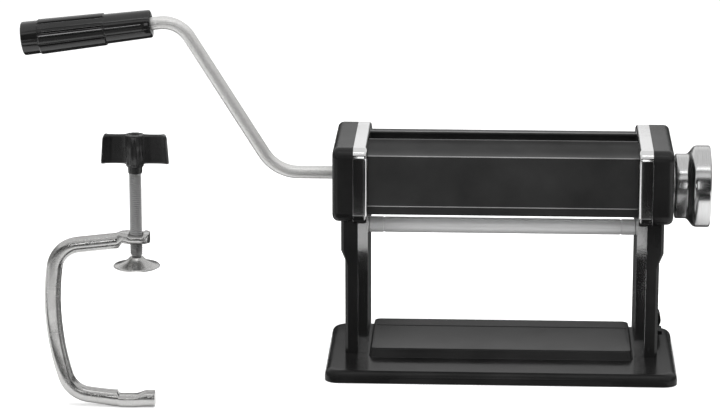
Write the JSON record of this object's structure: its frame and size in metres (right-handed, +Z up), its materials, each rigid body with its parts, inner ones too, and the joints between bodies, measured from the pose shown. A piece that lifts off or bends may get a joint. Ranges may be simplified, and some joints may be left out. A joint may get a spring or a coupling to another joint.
{
  "type": "hand cranked dough sheeter",
  "caption": "Hand cranked dough sheeter: two steel rollers in a covered head on two legs and a pressed base, with a thickness dial, a lift-out crank and a separate table clamp.",
  "frame": {"origin": "on the table, midway between the legs, at the underside of the rubber mat", "axes": "+X right along the rollers towards the thickness dial, +Y to the back, +Z up; the crank is on the -X side"},
  "size_m": [0.4499, 0.1786, 0.2284],
  "materials": {
    "gloss_black_paint": "gloss",
    "black_cover_plastic": "gloss",
    "black_grip_plastic": "gloss",
    "black_wing_plastic": "matt",
    "mirror_chrome": "mirror polished",
    "polished_aluminium": "polished",
    "satin_zinc": "satin zinc plate",
    "bright_screws": "bright",
    "roller_steel": "ground",
    "spring_steel": "drawn",
    "bearing_bronze": "sintered",
    "mat_rubber": "matt"
  },
  "bodies": {
    "frame": {"base_tray": "gloss_black_paint", "anti_slip_mat": "mat_rubber", "base_screws": "bright_screws", "base_nuts": "bright_screws", "clamp_socket": "gloss_black_paint", "left_frame": "mirror_chrome", "right_frame": "mirror_chrome", "left_leg_cover": "black_cover_plastic", "right_leg_cover": "black_cover_plastic", "leg_cover_screws": "bright_screws", "left_end_cover": "black_cover_plastic", "right_end_cover": "black_cover_plastic", "end_cover_screws": "bright_screws", "front_cover": "gloss_black_paint", "rear_cover": "gloss_black_paint", "tie_rod": "polished_aluminium", "cross_bars": "satin_zinc", "frame_screws": "bright_screws", "front_scraper": "roller_steel", "rear_scraper": "roller_steel", "drive_bushes": "bearing_bronze", "guide_brackets": "satin_zinc", "bracket_screws": "bright_screws", "selector_bushes": "bearing_bronze", "index_plate": "satin_zinc", "block_springs": "spring_steel"},
    "drive_roller": {"drive_roller": "roller_steel", "drive_gear": "satin_zinc"},
    "bearings": {"bearing_blocks": "bearing_bronze"},
    "gap_roller": {"gap_roller": "roller_steel", "gap_gear": "satin_zinc"},
    "selector": {"selector_shaft": "roller_steel", "gap_cams": "satin_zinc", "shaft_screw": "bright_screws", "knob_spring": "spring_steel"},
    "knob": {"thickness_knob": "polished_aluminium", "index_pin": "roller_steel", "knob_cap": "polished_aluminium"},
    "crank": {"crank_rod": "satin_zinc", "grip_washer": "satin_zinc"},
    "grip": {"crank_grip": "black_grip_plastic"},
    "clamp": {"clamp_frame": "mirror_chrome"},
    "foot": {"pressure_foot": "satin_zinc"},
    "clamp_screw": {"clamp_screw": "satin_zinc", "wing_knob": "black_wing_plastic"}
  },
  "joints": [
    {"name": "drive_turn", "type": "hinge", "parent": "frame", "child": "drive_roller", "pos_m": [0, 0.013, 0.12], "axis": [1, 0, 0], "continuous": true},
    {"name": "selector_turn", "type": "hinge", "parent": "frame", "child": "selector", "pos_m": [0, -0.013, 0.12], "axis": [1, 0, 0], "range_deg": [0, 270]},
    {"name": "gap_slide", "type": "slide", "parent": "frame", "child": "bearings", "axis": [0, 1, 0], "range_m": [0, 0.00182], "deforming": ["block_springs"]},
    {"name": "gap_roller_turn", "type": "hinge", "parent": "bearings", "child": "gap_roller", "pos_m": [0, -0.0139, 0.12], "axis": [1, 0, 0], "continuous": true},
    {"name": "knob_pull", "type": "slide", "parent": "selector", "child": "knob", "axis": [1, 0, 0], "range_m": [0, 0.004], "stiffness_N_per_m": 800, "springref_m": -0.005, "deforming": ["knob_spring"]},
    {"name": "crank_pull", "type": "slide", "parent": "drive_roller", "child": "crank", "axis": [-1, 0, 0], "range_m": [0, 0.03]},
    {"name": "grip_spin", "type": "hinge", "parent": "crank", "child": "grip", "pos_m": [-0.23002, 0.013, 0.21864], "axis": [-0.9919, 0, -0.1271], "continuous": true},
    {"name": "clamp_lift", "type": "slide", "parent": "frame", "child": "clamp", "axis": [0, 0, 1], "range_m": [0, 0.15]},
    {"name": "foot_slide", "type": "slide", "parent": "clamp", "child": "foot", "axis": [0, 0, -1], "range_m": [-0.00625, 0.03625]},
    {"name": "screw_turn", "type": "hinge", "parent": "foot", "child": "clamp_screw", "pos_m": [-0.227, -0.119, 0.13], "axis": [0, 0, -1], "range_deg": [-1810, 10450]}
  ],
  "couplings": [
    {"joint": "gap_slide", "follows": "selector_turn", "m_per_rad": 0.00038197},
    {"joint": "gap_roller_turn", "follows": "drive_turn", "ratio": -1},
    {"joint": "screw_turn", "follows": "foot_slide", "rad_per_m": 5026.5}
  ]
}
